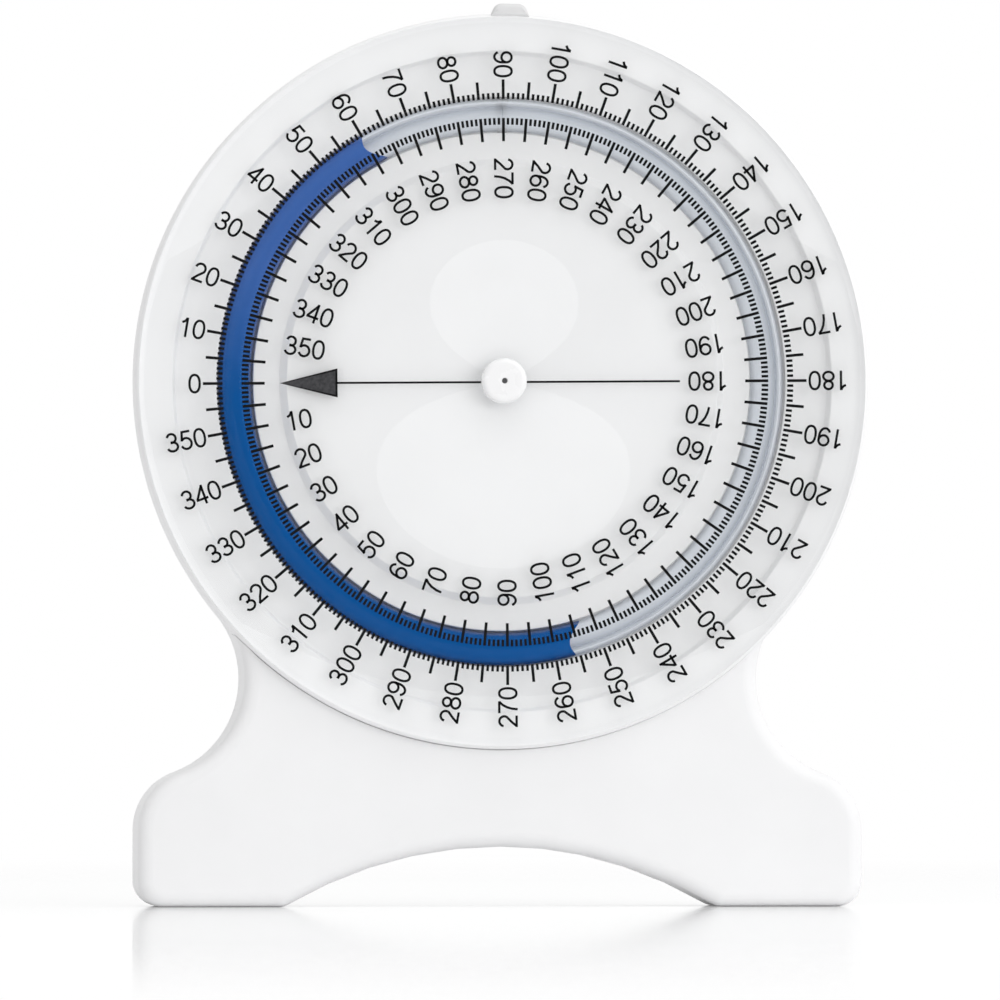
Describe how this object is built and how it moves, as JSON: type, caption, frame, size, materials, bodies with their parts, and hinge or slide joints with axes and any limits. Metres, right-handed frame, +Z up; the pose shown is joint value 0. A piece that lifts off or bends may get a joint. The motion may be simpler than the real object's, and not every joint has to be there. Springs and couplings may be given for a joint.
{
  "type": "scoliometer",
  "caption": "Bubble scoliometer: a round white dial with a blue liquid ring behind a clear degree window, turning on a flat stand with two feet and an arch.",
  "frame": {"origin": "on the floor under the middle of the part, halfway between the hub cap's front and the stand's back", "axes": "+Z up, +Y from the dial's face towards the back of the stand, +X to the right as seen from the front"},
  "size_m": [0.12, 0.0256, 0.1474],
  "materials": {
    "stand_white": "satin moulded",
    "dial_white": "fine satin moulded",
    "cap_white": "smooth",
    "clear_window": "clear polished",
    "clear_tube": "clear polished",
    "blue_liquid": "dyed liquid",
    "nylon": "natural",
    "steel": "plated"
  },
  "bodies": {
    "stand": {"stand_front_shell": "stand_white", "stand_back_cover": "stand_white", "cover_screw_1": "steel", "cover_screw_2": "steel", "cover_screw_3": "steel", "cover_screw_4": "steel", "cover_screw_5": "steel", "friction_washer": "nylon", "pivot_bush": "nylon", "spring_washer": "steel"},
    "dial": {"dial_plate": "dial_white", "dial_window": "clear_window", "ring_tube": "clear_tube", "tube_joint_sleeve": "clear_tube", "pivot_pin": "steel", "hub_cap": "cap_white", "retaining_washer": "steel", "retaining_screw": "steel"},
    "liquid": {"liquid_column": "blue_liquid"}
  },
  "joints": [
    {"name": "dial_turn", "type": "hinge", "parent": "stand", "child": "dial", "pos_m": [0, 0, 0.0857], "axis": [0, 1, 0], "continuous": true},
    {"name": "liquid_level", "type": "hinge", "parent": "stand", "child": "liquid", "pos_m": [0, 0, 0.0857], "axis": [0, 1, 0], "continuous": true}
  ]
}
